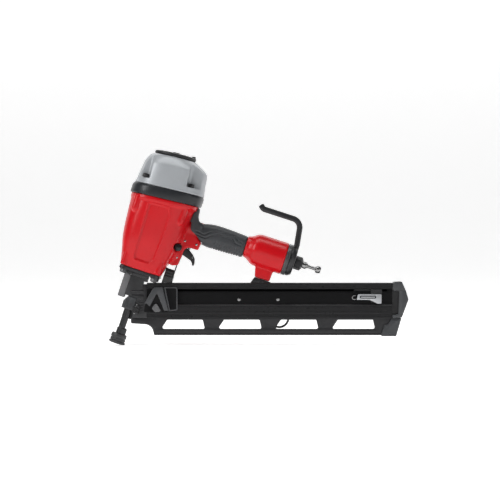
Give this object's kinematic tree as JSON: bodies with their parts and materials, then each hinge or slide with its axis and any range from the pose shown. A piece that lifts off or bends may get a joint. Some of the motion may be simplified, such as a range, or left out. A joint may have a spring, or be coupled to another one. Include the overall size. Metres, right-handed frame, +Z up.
{
  "type": "pneumatic framing nailer",
  "caption": "Pneumatic framing nail gun with a tapered cast body, rubber grip, swivel hook, angled strip magazine with side windows and a sliding work contact.",
  "frame": {"origin": "middle of the bounding box's base, on the floor under the tool as pictured", "axes": "+Z up, +X from the nose back along the magazine, +Y away from the side with the selector knob"},
  "size_m": [0.547, 0.122, 0.3581],
  "materials": {
    "red_casting": "satin paint on cast magnesium",
    "grey_cap": "satin grey paint",
    "grip_rubber": "moulded rubber",
    "pad_rubber": "dark rubber",
    "black_plastic": "black glass-filled nylon",
    "grey_plastic": "dark grey nylon",
    "guard_plastic": "grey textured nylon",
    "magazine_black": "black anodised aluminium",
    "black_steel": "black oxide steel",
    "bright_steel": "zinc plated steel",
    "bare_aluminium": "bare machined aluminium"
  },
  "bodies": {
    "tool": {"housing": "red_casting", "grip_sleeve": "grip_rubber", "head_ring": "grip_rubber", "cylinder_cap": "grey_cap", "cap_bolt_1": "black_steel", "cap_bolt_2": "black_steel", "cap_bolt_3": "black_steel", "cap_bolt_4": "black_steel", "deflector_bolt": "black_steel", "cylinder_sleeve": "bare_aluminium", "piston_bumper": "pad_rubber", "head_valve_spring": "bright_steel", "nose_casting": "black_steel", "nose_bolt_1": "bright_steel", "nose_bolt_2": "bright_steel", "nose_bolt_3": "bright_steel", "nose_bolt_4": "bright_steel", "nose_guard": "guard_plastic", "shank_guide": "black_steel", "depth_screw": "bright_steel", "contact_spring": "bright_steel", "arm_guide": "black_plastic", "bracket_pin_1": "bright_steel", "bracket_pin_2": "bright_steel", "bracket_pin_3": "bright_steel", "valve_body": "black_plastic", "valve_spring": "bright_steel", "magazine_body": "magazine_black", "nail_guard": "magazine_black", "front_bracket": "grey_plastic", "front_plate": "grey_plastic", "rear_cap": "grey_plastic", "rear_guard": "grey_plastic", "end_stop": "black_plastic", "magazine_screw_1": "bright_steel", "magazine_screw_2": "bright_steel", "leg_clamp": "black_plastic", "end_cap": "black_plastic", "inlet_nut": "black_steel", "air_plug": "bright_steel", "wire_loop": "black_steel"},
    "deflector": {"exhaust_deflector": "black_plastic"},
    "piston": {"piston_driver": "bright_steel"},
    "shuttle_valve": {"head_valve": "black_plastic"},
    "work_contact": {"contact_shank": "black_steel", "no_mar_pad": "pad_rubber", "contact_arm": "black_steel"},
    "depth_adjuster": {"depth_wheel": "black_plastic"},
    "trigger_unit": {"trigger": "black_plastic", "lever_pin": "bright_steel"},
    "lever": {"trigger_lever": "bright_steel"},
    "selector": {"selector_knob": "black_plastic"},
    "trigger_stem": {"valve_stem": "bright_steel"},
    "latch": {"latch_button": "grey_plastic"},
    "pusher_unit": {"pusher": "black_steel", "pusher_handle": "bare_aluminium", "pusher_clip": "bright_steel", "pusher_spring": "bright_steel"},
    "hook": {"belt_hook": "black_steel"}
  },
  "joints": [
    {"name": "deflector_turn", "type": "hinge", "parent": "tool", "child": "deflector", "pos_m": [-0.15111, 0, 0.34657], "axis": [0.23, 0, 0.9732], "continuous": true},
    {"name": "piston_drive", "type": "slide", "parent": "tool", "child": "piston", "axis": [-0.309, 0, -0.9511], "range_m": [0, 0.106]},
    {"name": "head_valve_lift", "type": "slide", "parent": "tool", "child": "shuttle_valve", "axis": [0.309, 0, 0.9511], "range_m": [0, 0.006], "stiffness_N_per_m": 600, "springref_m": -0.005, "deforming": ["head_valve_spring"]},
    {"name": "contact_press", "type": "slide", "parent": "tool", "child": "work_contact", "axis": [0.309, 0, 0.9511], "range_m": [0, 0.014], "stiffness_N_per_m": 1500, "springref_m": -0.03, "deforming": ["contact_spring"]},
    {"name": "depth_turn", "type": "hinge", "parent": "tool", "child": "depth_adjuster", "pos_m": [-0.22351, -0.018, 0.06703], "axis": [0.309, 0, 0.9511], "continuous": true},
    {"name": "trigger_pull", "type": "hinge", "parent": "tool", "child": "trigger_unit", "pos_m": [-0.14607, 0, 0.17919], "axis": [0, -1, 0], "range_deg": [0, 10], "stiffness_Nm_per_rad": 0.4, "springref_deg": -5.73},
    {"name": "lever_lift", "type": "hinge", "parent": "trigger_unit", "child": "lever", "pos_m": [-0.12059, 0, 0.16082], "axis": [0, 1, 0], "range_deg": [0, 8]},
    {"name": "selector_turn", "type": "hinge", "parent": "tool", "child": "selector", "pos_m": [-0.14607, 0, 0.17919], "axis": [0, 1, 0], "range_deg": [0, 180]},
    {"name": "valve_stem_lift", "type": "slide", "parent": "tool", "child": "trigger_stem", "axis": [0.309, 0, 0.9511], "range_m": [0, 0.003], "deforming": ["valve_spring"]},
    {"name": "latch_press", "type": "slide", "parent": "tool", "child": "latch", "axis": [0, 1, 0], "range_m": [0, 0.0015], "stiffness_N_per_m": 200, "springref_m": -0.0005},
    {"name": "pusher_slide", "type": "slide", "parent": "tool", "child": "pusher_unit", "axis": [-1, 0, 0], "range_m": [0, 0.3]},
    {"name": "hook_swivel", "type": "hinge", "parent": "tool", "child": "hook", "pos_m": [0.06115, 0, 0.15418], "axis": [0.9511, 0, -0.309], "range_deg": [-100, 100]}
  ],
  "couplings": [
    {"joint": "valve_stem_lift", "follows": "trigger_pull", "m_per_rad": 0.016845},
    {"joint": "lever_lift", "follows": "contact_press", "rad_per_m": 9.7738}
  ]
}
